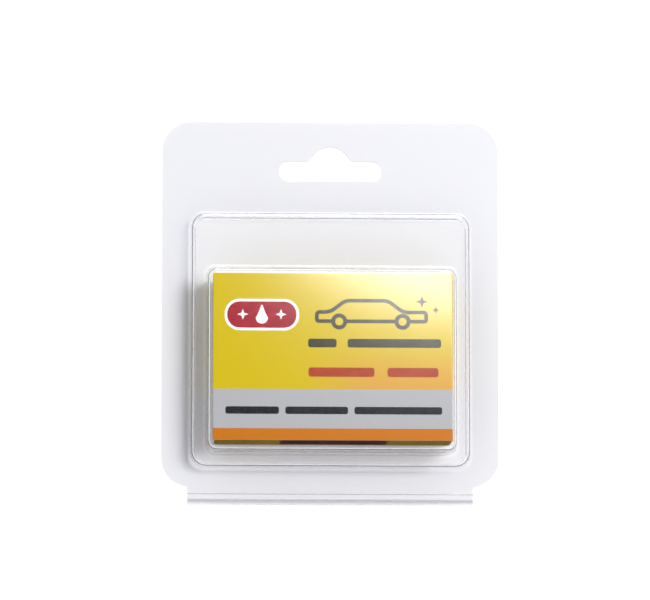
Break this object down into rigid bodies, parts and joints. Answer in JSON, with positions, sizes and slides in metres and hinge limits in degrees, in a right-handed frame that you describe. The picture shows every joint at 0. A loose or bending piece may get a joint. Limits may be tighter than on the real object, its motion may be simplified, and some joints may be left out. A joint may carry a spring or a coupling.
{
  "type": "clay bar in a hang pack",
  "caption": "Car paint clay bar, film wrapped in a printed tuck-end carton, inside a clear hinged clamshell pack with a hang slot.",
  "frame": {"origin": "below the middle of the pack, on the surface that the pack lies on", "axes": "+Z out of the front of the pack, +Y from the hinge edge towards the hang slot, +X to the right seen from the front"},
  "size_m": [0.105, 0.1203, 0.02],
  "materials": {
    "clear_sheet": "clear gloss",
    "carton_print": "glossy print",
    "carton_board": "uncoated",
    "film": "clear gloss",
    "clay": "matte",
    "leaflet": "matte"
  },
  "bodies": {
    "back": {"clamshell_back": "clear_sheet", "living_hinge": "clear_sheet", "carton_sleeve": "carton_print", "carton_glue_flap": "carton_board", "carton_top_closure": "carton_print", "carton_bottom_closure": "carton_print", "dust_flap_top_left": "carton_board", "dust_flap_top_right": "carton_board", "dust_flap_bottom_left": "carton_board", "dust_flap_bottom_right": "carton_board", "clay_film_wrap": "film", "clay_bar": "clay", "instruction_leaflet": "leaflet"},
    "lid": {"clamshell_front": "clear_sheet"}
  },
  "joints": [
    {"name": "lid_hinge", "type": "hinge", "parent": "back", "child": "lid", "pos_m": [0, -0.05935, 0.0008], "axis": [1, 0, 0], "range_deg": [0, 112]}
  ]
}
